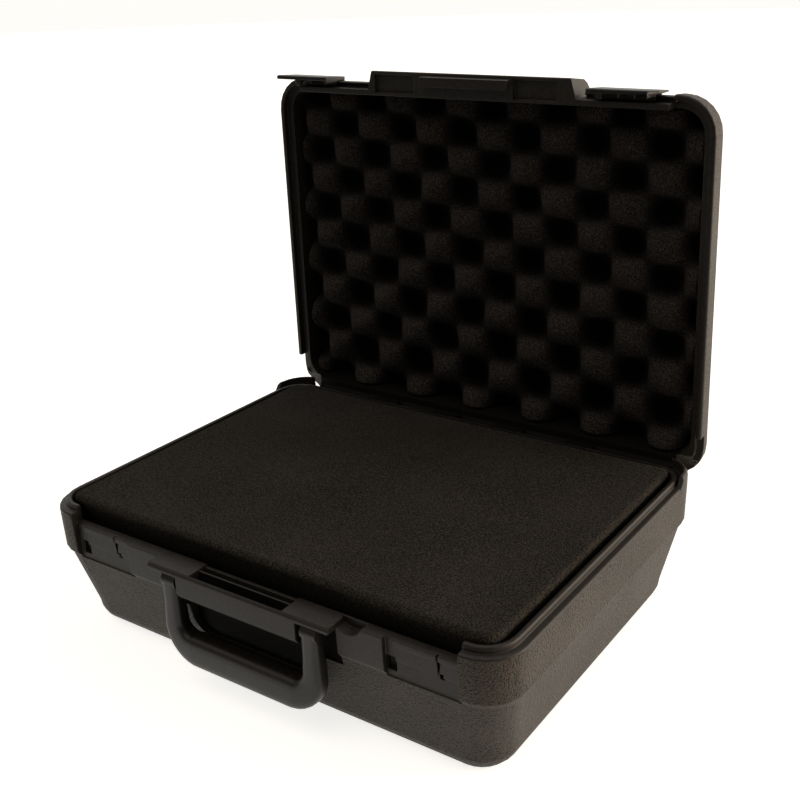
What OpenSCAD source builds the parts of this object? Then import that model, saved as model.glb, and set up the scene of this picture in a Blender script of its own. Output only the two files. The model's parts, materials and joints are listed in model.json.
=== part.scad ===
// Blow-moulded carrying case, shown open, with foam liners, slide latches and a swing handle.
// X runs along the front, the front faces -Y, and the case stands on Z = 0.

/* [Case] */
// Width over the outer band
case_w = 420; // [380:1:480]
// Depth over the outer band, front to back
case_d = 312; // [290:1:360]
// Height of the base up to the ledge of its rim
base_h = 106; // [98:1:130]
// Depth of the lid above the parting line
lid_h = 44; // [40:1:60]
// Corner radius of the band seen from above
corner_r = 30; // [26:1:36]
// Height of the proud band round the base
base_band_h = 36; // [33:1:40]
// Height of the proud band round the lid
lid_band_h = 20; // [18:1:24]
// How far the walls beyond the band stand in from it
step_in = 5; // [3:0.5:7]
// How far the walls of the base taper in further
wall_draft = 10; // [6:0.5:12]
// How far the walls of the lid taper in further
lid_draft = 6; // [3:0.5:8]
// Slight taper of the proud band
band_draft = 1.2; // [0.5:0.1:2]
// Rounding of the bottom edges of the base
edge_r = 20; // [14:1:22]
// Rounding of the top edges of the lid
lid_edge_r = 14; // [10:1:16]
// Corner radius of the lower walls of the base seen from above
low_corner_r = 28; // [24:1:34]
// Thickness of the double wall at the floor of the base
floor_t = 9; // [7:0.5:12]
// Thickness of the double wall at the top of the lid
panel_t = 6; // [5:0.5:9]

/* [Rim] */
// Width of the flat ledge that the lid lands on
ledge_w = 5.5; // [5:0.5:7]
// Width of the raised bead inside the ledge
bead_w = 4.5; // [3:0.5:6]
// Height of the raised bead above the ledge
bead_h = 4.5; // [3:0.5:6]
// Extra width of the rim along the hinge side
hinge_rim = 8; // [7:0.5:14]
// Height of the corner humps beside the hinge
hump_h = 8; // [6:1:10]
// Length of the corner humps along the sides
hump_len = 40; // [32:1:44]
// Length of the corner humps along the hinge side
hump_reach = 21.5; // [18:0.5:26]
// Thickness of the corner humps
hump_t = 4; // [3:0.5:4.5]

/* [Front] */
// Distance from each side to the seam where the front latch zone starts
seam_in = 33.5; // [32:0.5:40]
// Depth of the front latch zone behind the band
zone_in = 6; // [5:0.5:7]
// Drop of the parting line along the front latch zone
zone_drop = 9; // [7:0.5:10]
// Length of the handle beam at its front
beam_len = 167; // [162:1:180]
// How far the handle beam stands out from the band
beam_out = 10; // [8:0.5:12]
// Height of the handle beam
beam_h = 22; // [19:1:26]
// Length of the slot in the top of the beam
slot_len = 86; // [70:1:96]
// Width of the slot, front to back
slot_w = 10; // [8:0.5:12]
// Depth of the slot
slot_depth = 12; // [10:1:14]
// Thickness of the beam wall in front of the slot
slot_wall = 2; // [1.5:0.5:4]
// Thickness of the lip behind the slot
slot_lip = 2; // [1.5:0.5:3]
// Length of the shallow lid pockets beside the slot
pocket_len = 40; // [30:1:44]
// Distance of the left lid pocket from the slot
pocket_off = 9; // [4:1:12]
// Length of the finger recess behind the handle
recess_len = 124; // [110:1:128]
// Height of the finger recess
recess_h = 42; // [34:1:44]
// Thickness of the wall left behind the finger recess
recess_wall = 2; // [1.5:0.5:3]

/* [Handle] */
// Distance between the arms of the handle
grip_gap = 116; // [108:1:122]
// Width of each arm of the handle
arm_w = 14; // [12:0.5:16]
// Thickness of the arms, front to back
arm_t = 12; // [10:0.5:13]
// Height of the grip
grip_h = 25; // [20:0.5:26]
// Thickness of the grip, front to back
grip_t = 17; // [14:0.5:18]
// Distance from the pivot down to the middle of the grip
grip_drop = 52.5; // [48:0.5:56]
// Bend radius of the handle at the middle of its section
bend_r = 19; // [16:1:24]
// Diameter of the pivot studs
stud_d = 6; // [5:0.5:8]
// Length of the pivot studs
stud_len = 5; // [4:0.5:6]
// Room between each arm and the middle of the beam
arm_room = 2.5; // [1:0.5:3]
// Width of the open pocket outside each arm
arm_pocket = 9.5; // [6:0.5:10]

/* [Latches] */
// Length of a latch slide
latch_len = 56; // [50:1:60]
// Slope at the outer end of the right slide
latch_slope = 7; // [4:1:8]
// Travel of a latch slide
latch_travel = 13; // [10:0.5:14]
// Thickness of the latch plate
latch_t = 3.5; // [3:0.5:4.5]
// Height of the latch plate above its lower edge
latch_h = 28; // [26:1:31]
// How far the latch plate reaches below the front parting line
latch_reach = 8.5; // [8:0.5:10]
// Width of a latch hook
hook_w = 5; // [4:0.5:6]
// Height of a latch hook
hook_h = 3; // [2:0.5:4]
// Distance between the ribs on the back of a latch slide
rib_step = 13; // [10:1:15]
// Height of the catch lip on the base
lip_h = 4.5; // [3.5:0.5:5]
// How far the catch lip stands out of the latch zone
lip_out = 3.5; // [3:0.25:4]
// Height of the catch plates below the lip
catch_h = 12; // [10:1:14]
// Length of the catch between the hook slot and the seam
catch_len = 57; // [50:1:60]
// How far the unlocked left slide stands past the left end of its catch
left_reach = 21.4; // [20:0.2:23]
// How far the unlocked right slide stands past the left end of its catch
right_reach = 7.4; // [5:0.2:10]

/* [Hinge] */
// Height of the hinge axis below the rim of the base
hinge_down = 7.25; // [6:0.25:8]
// Diameter of the hinge rod
rod_d = 4; // [3:0.5:5]
// Number of lid knuckles along the hinge
knuckles = 4; // [2:1:6]
// Width of a lid knuckle
knuckle_w = 26; // [20:1:34]
// Angle between the closed lid and the open lid
open_angle = 90; // [80:1:100]

/* [Foam] */
// Height of the base foam above the rim of the base
foam_up = 7; // [5:0.5:9]
// Inset of the top of the base foam from the sides of the case
foam_in = 15; // [13:0.5:18]
// Corner radius of the top of the base foam
foam_corner = 7; // [5:1:12]
// Thickness of the foam pad under the block
pad_t = 12; // [8:1:20]
// Distance along the case between the peaks of the lid foam
peak_pitch = 61; // [48:1:70]
// Distance between neighbouring rows of peaks
row_pitch = 23; // [18:1:28]
// Height of the peaks above the valleys
peak_h = 22; // [12:1:24]
// Shift of the peaks along the case
peak_shift = 17; // [0:1:30]
// Distance from the front edge of the lid foam to its first full row of peaks
first_row = 28; // [10:1:36]

/* [Clearances] */
// Gap between the closed lid and the base
part_gap = 0.3; // [0.2:0.05:0.5]
// Gap round the bead of the base inside the lid
bead_gap = 0.9; // [0.5:0.1:1.3]
// Gap between the foam and what is round it
foam_gap = 0.5; // [0.3:0.1:0.8]
// Side gap between sliding or swinging plastic pieces
slide_gap = 0.4; // [0.3:0.05:0.6]
// Gap round a pin in its bore
pin_gap = 0.08; // [0.05:0.01:0.1]
// Gap between knuckles and their pockets
pocket_gap = 1; // [0.6:0.1:1.5]

/* [Hidden] */
shell_colour = "#1d1b19";
slide_colour = "#232120";
foam_colour = "#2b2a29";
steel_colour = "#8d8f92";
// Facets of a quarter corner of a shell outline
corner_n = 6;
$fn = 48;

half_w = case_w / 2;
half_d = case_d / 2;
seam_x = half_w - seam_in;
front_y = -half_d;
zone_y = front_y + zone_in;
zone_z = base_h - zone_drop;
band_z = base_h - base_band_h;
closed_z = base_h + part_gap;
skirt_z = zone_z + part_gap;
lid_top = closed_z + lid_h;
lid_band_z = closed_z + lid_band_h;
wall_in = ledge_w + bead_w;
beam_y = front_y - beam_out;
// The lid opens until its rear rim meets the rear wall of the base
axis_y = half_d - hinge_down;
axis_z = base_h - hinge_down;
knuckle_r = hinge_down;
// Inset of the lid where its lip is cut away over the humps
hump_in = ledge_w + pocket_gap;
// Half the free length between the humps
hump_x = half_w - hump_reach;
// Sweep of the humps past the corners of the opening lid
hump_turn_y = half_d - corner_r + sqrt(pow(corner_r - hump_t, 2) - pow(corner_r - hump_in, 2));
swing_r = norm([axis_y - hump_turn_y, hump_h + hinge_down]) + pocket_gap / 2;
hinge_half = seam_x - 6;
knuckle_step = 2 * hinge_half / (knuckles + 1);
foam_top = base_h + foam_up;
cavity_in = wall_in + bead_gap;
// Half the length of the lid bulge over the handle beam
bulge_half = beam_len / 2 + 17;
ceiling_z = lid_top - panel_t;
// Reach of a cut that runs out of the body
past = 30;
eps = 0.01;

// A quarter arc in the plane of inset and height
function arc(ci, cz, r, a0, a1, n = 4) =
    [for (k = [0:n]) let (a = a0 + (a1 - a0) * k / n) [ci + r * cos(a), cz + r * sin(a)]];

// Outline of the case at one inset and height, with the hinge side set in further by rear
function outline(inset, z, rear = 0, corner = 0) =
    let (r = corner > 0 ? corner : max(corner_r - inset, 7), x = half_w - inset - r, yb = half_d - inset - rear - r,
         yf = front_y + inset + r)
    [for (c = [[x, yb, 0], [-x, yb, 90], [-x, yf, 180], [x, yf, 270]], k = [0:corner_n])
        let (a = c[2] + 90 * k / corner_n) [c[0] + r * cos(a), c[1] + r * sin(a), z]];

// A closed skin through a list of rings, each [inset, height, rear inset, corner radius]
module skin(rings) {
    n = 4 * (corner_n + 1);
    last = len(rings) - 1;
    points = [for (q = rings) each outline(q[0], q[1], len(q) > 2 ? q[2] : 0,
        len(q) > 3 ? q[3] : 0)];
    sides = [for (i = [0:last - 1], k = [0:n - 1])
        let (a = i * n + k, b = i * n + (k + 1) % n) each [[a, b + n, b], [a, a + n, b + n]]];
    polyhedron(points, concat([[for (k = [0:n - 1]) k]], sides,
        [[for (k = [n - 1:-1:0]) last * n + k]]));
}

// Outer wall from the middle of the floor or top panel to the band, given upwards from the floor
function outer_wall(band, rim, draft, edge, low_r = 0) =
    let (corner_in = step_in + draft, step = step_in - band_draft) concat(
    [for (q = arc(corner_in + edge, edge, edge, 270, 180, 5))
        [q[0], q[1], 0, low_r > 0 ? max(low_r + corner_in - q[0], 7) : 0]],
    [[step_in, band - 3.5], [band_draft + step * 0.7, band - 1.2],
     [band_draft + step * 0.25, band + 0.4], [band_draft, band + 2.4], [0, rim - 1.8],
     [0.5, rim - 0.5], [1.8, rim]]);

// Inset of the cavity wall of the base at a height
function cavity_at(z) = wall_in + wall_draft * max(0, base_h - z) / (base_h - floor_t);

// Corner radius of the cavity of the base at a height
function cavity_corner(z) = corner_r - wall_in
    + (low_corner_r + step_in - corner_r) * max(0, base_h - z) / (base_h - floor_t);

// Ring of the cavity wall at a height, set in further by extra
function cavity_ring(z, extra = 0) =
    [cavity_at(z) + extra, z, hinge_rim, cavity_corner(z) - extra];

// A box between two corners
module span(a, b) { translate(a) cube(b - a); }

module base_skin() {
    inner_r = 6;
    low_in = cavity_at(floor_t + inner_r);
    skin(concat(outer_wall(band_z, base_h, wall_draft, edge_r, low_corner_r),
        [[ledge_w, base_h], [ledge_w + 0.3, base_h + bead_h - 1, hinge_rim],
         [ledge_w + 1.2, base_h + bead_h, hinge_rim],
         [wall_in - 1, base_h + bead_h, hinge_rim], [wall_in, base_h + bead_h - 1, hinge_rim],
         cavity_ring(base_h), cavity_ring(floor_t + inner_r)],
        [for (q = arc(low_in + inner_r, floor_t + inner_r, inner_r, 180, 270, 3))
            if (q[1] < floor_t + inner_r - eps) cavity_ring(q[1], q[0] - cavity_at(q[1]))]));
}

// Left ends of the two catches on the base: the right one ends at the seam
catch_x = [-seam_x + 2.8, seam_x - catch_len];
hook_slot_w = hook_w + 2;
// Left ends of the two latch slides, unlocked, from the left end of their catch
slide_x = [catch_x[0] - left_reach, catch_x[1] - right_reach];

module front_zone_cut() {
    cut_x = seam_x + slide_gap;
    low_z = band_z - 3.5;
    span([-cut_x, front_y - past, zone_z], [cut_x, front_y + wall_in + 3, foam_top]);
    span([-seam_x, front_y - past, low_z], [catch_x[0] + catch_len, zone_y, base_h]);
    span([catch_x[1], front_y - past, low_z], [seam_x, zone_y, base_h]);
    // Hollow under the right end of the lid bulge
    r = 12;
    translate([beam_len / 2 + 8, zone_y + 3, zone_z + r - 7])
        rotate([90, 0, 0]) cylinder(r = r, h = zone_in + 4);
}

module catches() {
    lip_y = zone_y - lip_out;
    plate_y = zone_y - 1.5;
    lip_z = zone_z - lip_h;
    line_u = catch_len - 17;
    for (x0 = catch_x) translate([x0, 0, 0]) {
        difference() {
            union() {
                span([0, plate_y, zone_z - lip_h - catch_h], [catch_len, zone_y + 1, zone_z]);
                span([hook_slot_w, lip_y, lip_z], [catch_len, zone_y + 1, zone_z]);
            }
            span([line_u, lip_y - 1, zone_z - lip_h - catch_h - 1], [line_u + 1.2, plate_y + 1, zone_z + 1]);
        }
    }
}

// Blind windows beside and below the catch plates
module catch_windows() {
    low_z = zone_z - lip_h - catch_h;
    for (x0 = catch_x) {
        span([x0, zone_y - 3, low_z - 9], [x0 + hook_slot_w, zone_y + 4, low_z + 2.5]);
        span([x0 + catch_len - 16.5, zone_y - 3, low_z - 2],
             [x0 + catch_len - 13, zone_y + 4, low_z + 2.5]);
    }
}

stud_y = beam_y + arm_t / 2 + 0.5;
stud_z = zone_z - beam_h / 2 - 0.5;
arm_mid = (grip_gap + arm_w) / 2;
// Top of the pockets for the arms, clear of the round ends of the arms
notch_top = stud_z + arm_t / 2 + 0.8;
block_half = grip_gap / 2 - arm_room;

// Handle beam: a block between the arms of the handle and a ledge over them
module beam() {
    low_z = zone_z - beam_h;
    top_chamfer = 2;
    side = beam_len / 2;
    intersection() {
        union() {
            span([-block_half, beam_y, low_z], [block_half, zone_y + 2, zone_z]);
            span([-side, beam_y, notch_top], [side, zone_y + 2, zone_z]);
        }
        rotate([90, 0, 90]) translate([0, 0, -side - 10]) linear_extrude(2 * side + 20) polygon([
            [zone_y + 2, low_z], [beam_y + 3, low_z], [beam_y, low_z + 4],
            [beam_y, zone_z - top_chamfer], [beam_y + top_chamfer, zone_z], [zone_y + 2, zone_z]]);
    }
}

// Slot for the tongue of the lid, a low step behind it and a groove behind its lip
module beam_slot() {
    side = slot_len / 2;
    slot_y = beam_y + slot_wall;
    span([-side, slot_y, zone_z - slot_depth], [side, slot_y + slot_w, zone_z + 1]);
    span([-side, slot_y, zone_z - 1.5], [side, front_y + wall_in + 3, zone_z + 1]);
    span([-side, slot_y + slot_w + slot_lip, zone_z - 6], [side, zone_y + 2.2, zone_z + 1]);
}

// Pockets behind and outside the arms, and the bores for the studs
module arm_pockets() {
    low_z = zone_z - beam_h - 15;
    out_x = grip_gap / 2 + arm_w + arm_pocket;
    for (s = [-1, 1]) {
        span([min(s * block_half, s * out_x), beam_y - 1, low_z],
             [max(s * block_half, s * out_x), front_y + wall_in - recess_wall, notch_top]);
        translate([s * (block_half + eps), stud_y, stud_z]) rotate([0, -90 * s, 0])
            cylinder(d = stud_d + 2 * pin_gap, h = stud_len);
    }
}

// Finger recess with round lower corners, its floor along the drafted wall
module finger_recess() {
    top_z = zone_z - beam_h + 1;
    slant = atan(wall_draft / (base_h - floor_t));
    r = 16;
    x = recess_len / 2 - r;
    translate([0, front_y + cavity_at(top_z) - recess_wall, top_z]) rotate([90 + slant, 0, 0])
        linear_extrude(past) union() {
            translate([-recess_len / 2, r - recess_h]) square([recess_len, recess_h - r]);
            translate([-x, -recess_h]) square([2 * x, r + 1]);
            for (s = [-1, 1]) translate([s * x, r - recess_h]) circle(r);
        }
}

// Raised outer corners beside the hinge, cut from a ring of the outline
module humps() {
    ramp = 9;
    start_y = half_d - hump_len;
    intersection() {
        difference() {
            skin([[0, base_h - 4], [0, base_h + hump_h - 3], [1.2, base_h + hump_h - 0.8],
                  [hump_t * 0.7, base_h + hump_h]]);
            skin([[hump_t, base_h - 5], [hump_t, base_h + hump_h + 1]]);
        }
        union() for (s = [-1, 1]) {
            rotate([90, 0, 90]) translate([0, 0, s > 0 ? hump_x : -half_w - 1])
                linear_extrude(hump_reach + 1) polygon([
                    [start_y, base_h - 3], [start_y + ramp, base_h + hump_h + 1],
                    [half_d + 1, base_h + hump_h + 1], [half_d + 1, base_h - 3]]);
        }
    }
}

function knuckle_x(i) = -hinge_half + (i + 1) * knuckle_step;

// Rear edge of the base rounded about the hinge axis between the humps
module rear_edge_cut() {
    length = 2 * hump_x;
    translate([-length / 2, axis_y, axis_z]) rotate([90, 0, 90]) linear_extrude(length)
        difference() {
            square(past);
            circle(knuckle_r, $fn = 64);
        }
}

module knuckle_pockets() {
    reach = norm([hinge_down, hinge_down]) + pocket_gap;
    for (i = [0:knuckles - 1])
        span([knuckle_x(i) - knuckle_w / 2 - slide_gap, axis_y - knuckle_r - pocket_gap,
              axis_z - knuckle_r - pocket_gap],
             [knuckle_x(i) + knuckle_w / 2 + slide_gap, axis_y + reach + past, base_h + past]);
}

// The rod is pushed in from the left corner
module rod_bore(gap) {
    translate([-half_w - 1, axis_y, axis_z]) rotate([0, 90, 0])
        cylinder(d = rod_d + 2 * gap, h = half_w + 1 + hinge_half + 1);
}

module base_shell() {
    color(shell_colour) difference() {
        union() {
            difference() {
                union() {
                    base_skin();
                    humps();
                }
                front_zone_cut();
                rear_edge_cut();
            }
            beam();
            catches();
        }
        beam_slot();
        arm_pockets();
        finger_recess();
        catch_windows();
        knuckle_pockets();
        rod_bore(pin_gap);
    }
}

module hinge_rod() {
    color(steel_colour) translate([-hinge_half, axis_y, axis_z]) rotate([0, 90, 0])
        cylinder(d = rod_d, h = 2 * hinge_half);
}

// Everything on the lid is drawn closed and turned open about the hinge axis
module opened() {
    translate([0, axis_y, axis_z]) rotate([-open_angle, 0, 0]) translate([0, -axis_y, -axis_z])
        children();
}

module lid_skin() {
    inner_r = 6;
    inner_low = closed_z + bead_h + 1.2;
    outer = outer_wall(lid_h - lid_band_h, lid_h, lid_draft, lid_edge_r);
    last = len(outer) - 1;
    skin(concat(
        [[cavity_in + 7, ceiling_z, hinge_rim], [cavity_in + 3.5, ceiling_z - 1.5, hinge_rim],
         [cavity_in + 1.5, ceiling_z - inner_r, hinge_rim], [cavity_in, inner_low, hinge_rim],
         [ledge_w - bead_gap, inner_low, hinge_rim], [ledge_w - bead_gap, closed_z]],
        [for (i = [last:-1:0]) [outer[i][0], lid_top - outer[i][1]]]));
}

module lid_front() {
    // Skirt that fills the drop of the front parting line
    side = seam_x - slide_gap;
    span([-side, zone_y, skirt_z], [side, front_y + cavity_in, closed_z + 8]);
    // Bulge that lands on the handle beam
    top_z = lid_band_z + 2;
    half = bulge_half;
    intersection() {
        translate([0, 0, skirt_z]) linear_extrude(top_z - skirt_z) polygon([
            [-half + 5, beam_y], [half - 5, beam_y], [half, zone_y + 2], [-half, zone_y + 2]]);
        rotate([90, 0, 90]) translate([0, 0, -half]) linear_extrude(2 * half) polygon([
            [zone_y + 2, skirt_z], [beam_y + 1, skirt_z], [beam_y, skirt_z + 1],
            [beam_y + 3, top_z - 9], [beam_y + 6, top_z - 5], [zone_y + 2, top_z]]);
    }
    // Tongue that enters the slot of the beam
    tongue_gap = 1;
    tongue_y = beam_y + slot_wall + tongue_gap;
    span([-slot_len / 2 + tongue_gap, tongue_y, skirt_z - slot_depth + 5],
         [slot_len / 2 - tongue_gap, tongue_y + slot_w - 2 * tongue_gap, skirt_z + 1]);
}

rail_z = [skirt_z + 8, skirt_z + 16];
rail_out = [2.6, 4.6];

// Rail of one latch: a flange on a stem, with a gap in the stem that stops the slide
module latch_rail(x_from, x_to, stop_x) {
    mid = (rail_z[0] + rail_z[1]) / 2;
    difference() {
        span([x_from, zone_y - rail_out[0] - eps, mid - 1.5], [x_to, zone_y + 1, mid + 1.5]);
        span([stop_x - 2 - slide_gap, zone_y - rail_out[0] - 1, mid - 2],
             [stop_x + 2 + latch_travel + slide_gap, zone_y, mid + 2]);
    }
    span([x_from, zone_y - rail_out[1], rail_z[0]], [x_to, zone_y - rail_out[0], rail_z[1]]);
}

module lid_shell() {
    bulge_x = bulge_half + 3;
    color(shell_colour) opened() difference() {
        union() {
            difference() {
                lid_skin();
                // Latch zone behind the band
                span([-seam_x, front_y - past, closed_z - 1],
                     [seam_x, zone_y, lid_band_z + 4]);
                // Lip cut away over the humps of the base
                difference() {
                    for (s = [-1, 1])
                        span([s > 0 ? hump_x - pocket_gap : -half_w - 1,
                              half_d - hump_len - pocket_gap, closed_z - 1],
                             [s > 0 ? half_w + 1 : -hump_x + pocket_gap, half_d + 1,
                              closed_z + hump_h + pocket_gap]);
                    skin([[hump_in, closed_z - 2], [hump_in, lid_top]]);
                }
                for (s = [-1, 1]) translate([s > 0 ? hump_x - slide_gap : -half_w - 1, axis_y, axis_z])
                    rotate([0, 90, 0]) cylinder(r = swing_r, h = hump_reach + slide_gap + 1);
            }
            lid_front();
            latch_rail(-seam_x, -bulge_x, slide_x[0] + latch_len / 2);
            latch_rail(bulge_x, seam_x, slide_x[1] + latch_len / 2);
            for (i = [0:knuckles - 1]) translate([knuckle_x(i) - knuckle_w / 2, axis_y, axis_z])
                rotate([90, 0, 90]) linear_extrude(knuckle_w) union() {
                    circle(knuckle_r - 0.5);
                    translate([-knuckle_r + 0.5, 0])
                        square([2 * knuckle_r - 1, hinge_down + part_gap + 4]);
                }
        }
        // Shallow pockets beside the tongue
        for (x = [-slot_len / 2 - pocket_off - pocket_len, slot_len / 2 + 1])
            span([x, beam_y + slot_wall + 1, skirt_z - 1],
                 [x + pocket_len, front_y + wall_in - 1.5, skirt_z + 3]);
        rod_bore(pin_gap);
    }
}

module latch_slide(x0, hook_u, ribs, slope = 0) {
    front = zone_y - 10;
    inner = front + latch_t;
    low_z = skirt_z - latch_reach;
    mid = (rail_z[0] + rail_z[1]) / 2;
    slot = [rail_z[0] - slide_gap, rail_z[1] + slide_gap];
    block = [slot[0] - 2.5, slot[1] + 2.5];
    lip_y = [zone_y - rail_out[0] + slide_gap, zone_y - slide_gap];
    // The channel keeps between the seams at both ends of the travel
    ends = [max(0, -seam_x + 2 * slide_gap - x0),
            min(latch_len, seam_x - 2 * slide_gap - latch_travel - x0)];
    color(slide_colour) opened() translate([x0, 0, 0]) {
        // Plate with thin slanting edges and a slope at its outer end
        difference() {
            rotate([90, 0, 90]) linear_extrude(latch_len) polygon([
                [inner, low_z], [front + 0.8, low_z], [front, low_z + 1.2],
                [front + 2, low_z + latch_h - 1.5], [front + 2.6, low_z + latch_h],
                [inner, low_z + latch_h]]);
            if (slope > 0) translate([latch_len, inner + 1, low_z]) rotate([90, 0, 0])
                linear_extrude(latch_t + 2) polygon([[-slope, -1], [1, -1], [1, 1.6 * slope]]);
        }
        // Channel round the rail
        difference() {
            span([ends[0], inner - eps, block[0]], [ends[1], lip_y[1], block[1]]);
            span([-1, zone_y - rail_out[1] - slide_gap, slot[0]], [latch_len + 1, lip_y[0], slot[1]]);
            span([-1, lip_y[0] - 1, mid - 1.5 - slide_gap], [latch_len + 1, zone_y, mid + 1.5 + slide_gap]);
        }
        // Stop that runs in the gap of the stem
        span([latch_len / 2 - 2, lip_y[0], mid - 1.5 - slide_gap - eps],
             [latch_len / 2 + 2, lip_y[1], mid + 1.5 + slide_gap + eps]);
        span([hook_u, inner - eps, low_z],
             [hook_u + hook_w, zone_y - 1.5 - slide_gap, low_z + hook_h]);
        for (u = concat(ribs, [ends[1] - 1.5])) span([u, inner - eps, low_z],
            [u + 1.5, zone_y - lip_out - slide_gap, block[0] + eps]);
    }
}

module latch_slide_left() {
    hook_u = catch_x[0] - slide_x[0] + 1;
    latch_slide(slide_x[0], hook_u, [hook_u - 1.5, hook_u + rib_step + 3]);
}

module latch_slide_right() {
    hook_u = catch_x[1] - slide_x[1] + 1;
    rib_u = hook_u + hook_w + rib_step;
    latch_slide(slide_x[1], hook_u, [rib_u, rib_u + rib_step], latch_slope);
}

// Handle: one closed skin swept down one arm, along the grip and up the other arm
function handle_path(steps = 8) =
    let (r = bend_r, x = arm_mid, zt = stud_z, zb = stud_z - grip_drop, zm = (zt + zb + r) / 2)
    concat([[[x, zt], 0, 0], [[x, zm], 0, 0], [[x, zb + r], 0, 0.2]],
        [for (k = [1:steps]) let (a = 90 * k / steps)
            [[x - r + r * cos(a), zb + r - r * sin(a)], a, 0.2 + 0.8 * k / steps]],
        [for (k = [0:steps - 1]) let (a = 90 + 90 * k / steps)
            [[-x + r + r * cos(a), zb + r - r * sin(a)], a, 1 - 0.8 * k / steps]],
        [[[-x, zb + r], 180, 0.2], [[-x, zm], 180, 0], [[-x, zt], 180, 0]]);

module carry_handle() {
    n = 20;
    path = handle_path();
    last = len(path) - 1;
    points = [for (q = path, k = [0:n - 1]) let (
        t = 360 * (k + 0.5) / n, w = (arm_w + (grip_h - arm_w) * q[2]) / 2,
        d = (arm_t + (grip_t - arm_t) * q[2]) / 2,
        u = w * sign(cos(t)) * pow(abs(cos(t)), 0.6), v = d * sign(sin(t)) * pow(abs(sin(t)), 0.6))
        [q[0][0] + u * cos(q[1]), stud_y - v, q[0][1] - u * sin(q[1])]];
    sides = [for (i = [0:last - 1], k = [0:n - 1])
        let (a = i * n + k, b = i * n + (k + 1) % n) each [[a, b + n, b], [a, a + n, b + n]]];
    color(slide_colour) {
        polyhedron(points, concat([[for (k = [0:n - 1]) k]], sides,
            [[for (k = [n - 1:-1:0]) last * n + k]]));
        for (s = [-1, 1]) translate([s * arm_mid, stud_y, stud_z]) {
            translate([-arm_w / 2 + 0.3, 0, 0]) rotate([0, 90, 0])
                cylinder(d = arm_t, h = arm_w - 0.6);
            rotate([0, -90 * s, 0])
                cylinder(d = stud_d, h = arm_w / 2 + arm_room + stud_len - slide_gap);
        }
    }
}

pad_z = floor_t + part_gap;

module base_foam_pad() {
    // The lower edge clears the rounding of the cavity floor
    color(foam_colour) skin([cavity_ring(pad_z, foam_gap + 5), cavity_ring(pad_z + 6, foam_gap),
        cavity_ring(pad_z + pad_t, foam_gap)]);
}

// The block fills the cavity and stands in from the bead at its top
module base_foam_block() {
    color(foam_colour) skin([cavity_ring(pad_z + pad_t + part_gap, foam_gap),
        cavity_ring(zone_z - 4, foam_gap), [foam_in, zone_z - 1, hinge_rim, 2 * foam_corner],
        [foam_in, base_h + 1, hinge_rim, foam_corner],
        [foam_in, foam_top - 1.5, hinge_rim, foam_corner],
        [foam_in + 1.5, foam_top, hinge_rim, foam_corner]]);
}

// Convoluted foam in the lid: rows of round peaks, each row half a pitch beside the last
module lid_foam() {
    side = cavity_in + foam_gap + 3;
    x1 = half_w - side;
    y0 = front_y + side;
    y1 = half_d - side - hinge_rim;
    top_z = ceiling_z - part_gap;
    low_z = foam_top + 0.8;
    // Grid lines run through the peaks and the valleys between them
    step_x = peak_pitch / 6;
    step_y = row_pitch / 2;
    row_y = y0 + first_row;
    xs = concat([-x1], [for (k = [-40:40]) let (x = peak_shift + k * step_x)
        if (abs(x) < x1 - step_x / 3) x], [x1]);
    ys = concat([y0], [for (k = [-40:40]) let (y = row_y + k * step_y)
        if (y > y0 + step_y / 3 && y < y1 - step_y / 3) y], [y1]);
    nx = len(xs) - 1;
    ny = len(ys) - 1;
    edge_cut = 9;
    ym = (y0 + y1) / 2;
    function wave(x, y) = 0.5 + 0.5 * cos(360 * (x - peak_shift) / peak_pitch)
        * cos(180 * (y - row_y) / row_pitch);
    function corner_cut(x, y) = max(0, abs(x) + abs(y - ym) - x1 - (y1 - y0) / 2 + edge_cut);
    function index(i, j) = i * (ny + 1) + j;
    count = (nx + 1) * (ny + 1);
    low = [for (x = xs, y = ys) let (c = corner_cut(x, y) / 2)
        [x - sign(x) * c, y - sign(y - ym) * c,
         low_z + peak_h * (1 - wave(x, y))]];
    // The back is smaller, to clear the rounded ceiling of the lid
    back_in = 4.5;
    high = [for (q = low) [q[0] * (x1 - back_in) / x1,
        ym + (q[1] - ym) * (y1 - ym - back_in) / (y1 - ym), top_z]];
    grid = [for (i = [0:nx - 1], j = [0:ny - 1])
        each [[index(i, j), index(i + 1, j + 1), index(i, j + 1)],
              [index(i, j), index(i + 1, j), index(i + 1, j + 1)]]];
    ring = concat([for (i = [0:nx - 1]) index(i, 0)], [for (j = [0:ny - 1]) index(nx, j)],
        [for (i = [nx:-1:1]) index(i, ny)], [for (j = [ny:-1:1]) index(0, j)]);
    m = len(ring);
    top = [for (q = ring) high[q]];
    walls = [for (k = [0:m - 1]) let (a = ring[k], b = ring[(k + 1) % m])
        each [[a, count + k, count + (k + 1) % m], [a, count + (k + 1) % m, b]]];
    // The back of the foam closes as a fan about its middle
    fan = [for (k = [0:m - 1]) [count + m, count + (k + 1) % m, count + k]];
    color(foam_colour) opened()
        polyhedron(concat(low, top, [[0, ym, top_z]]), concat(grid, walls, fan));
}

base_shell();
lid_shell();
hinge_rod();
carry_handle();
latch_slide_left();
latch_slide_right();
base_foam_pad();
base_foam_block();
lid_foam();
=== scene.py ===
"""Look of a blow-moulded carrying case that stands open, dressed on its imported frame.

The shells, the handle and the latch slides are softened copies of the frame's own solids, and the
three foam pieces are modelled here at full detail inside the space their solids hold.
"""

import json
import logging
import math
from dataclasses import dataclass, field
from enum import Enum
from typing import Callable

import bmesh
import bpy
from mathutils import Matrix, Vector, noise
from mathutils.bvhtree import BVHTree

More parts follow.
